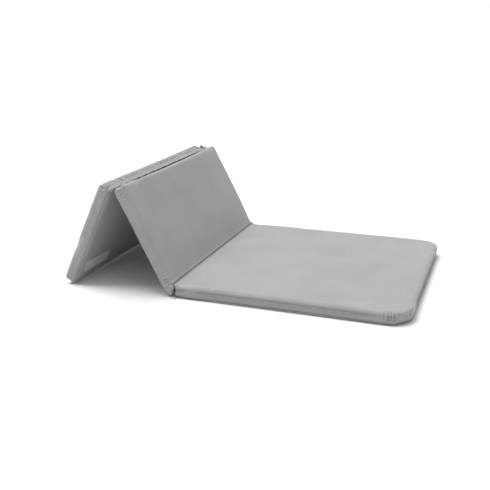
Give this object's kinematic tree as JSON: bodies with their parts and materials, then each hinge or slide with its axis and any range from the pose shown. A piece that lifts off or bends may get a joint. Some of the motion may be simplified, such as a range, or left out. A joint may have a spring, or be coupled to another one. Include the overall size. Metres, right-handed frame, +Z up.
{
  "type": "folding kneeling pad",
  "caption": "Fabric-covered foam kneeling pad with one long flat panel and two short panels on fold webs that stand up as a leaning prop.",
  "frame": {"origin": "centre of the base panel's underside, on the floor", "axes": "+X along the pad's length, from the front fold to the base panel's rounded free end; +Y across the pad, along the folds; +Z up"},
  "size_m": [0.668, 0.45, 0.2065],
  "materials": {
    "cover_fabric": "matte",
    "seam_welt": "matte",
    "fold_web": "matte",
    "foam_core": "matte",
    "stiffener_board": "satin",
    "label": "matte"
  },
  "bodies": {
    "base": {"base_underside_cover": "cover_fabric", "base_stiffener_board": "stiffener_board", "base_foam_core": "foam_core", "base_top_cover": "cover_fabric", "base_side_band": "cover_fabric", "base_underside_welt": "seam_welt", "base_top_welt": "seam_welt", "front_fold_web": "fold_web"},
    "middle": {"middle_underside_cover": "cover_fabric", "middle_stiffener_board": "stiffener_board", "middle_foam_core": "foam_core", "middle_top_cover": "cover_fabric", "middle_side_band": "cover_fabric", "middle_underside_welt": "seam_welt", "middle_top_welt": "seam_welt", "rear_fold_web": "fold_web"},
    "end": {"end_underside_cover": "cover_fabric", "end_stiffener_board": "stiffener_board", "end_foam_core": "foam_core", "end_top_cover": "cover_fabric", "end_side_band": "cover_fabric", "end_underside_welt": "seam_welt", "end_top_welt": "seam_welt", "label": "label"}
  },
  "joints": [
    {"name": "front_fold", "type": "hinge", "parent": "base", "child": "middle", "pos_m": [-0.21725, 0, 0.027], "axis": [0, 1, 0], "range_deg": [-62.21, 117.78], "deforming": ["front_fold_web"]},
    {"name": "rear_fold", "type": "hinge", "parent": "middle", "child": "end", "pos_m": [-0.3382, 0, 0.19555], "axis": [0, 1, 0], "range_deg": [-52.29, 127.7], "deforming": ["rear_fold_web"]}
  ]
}
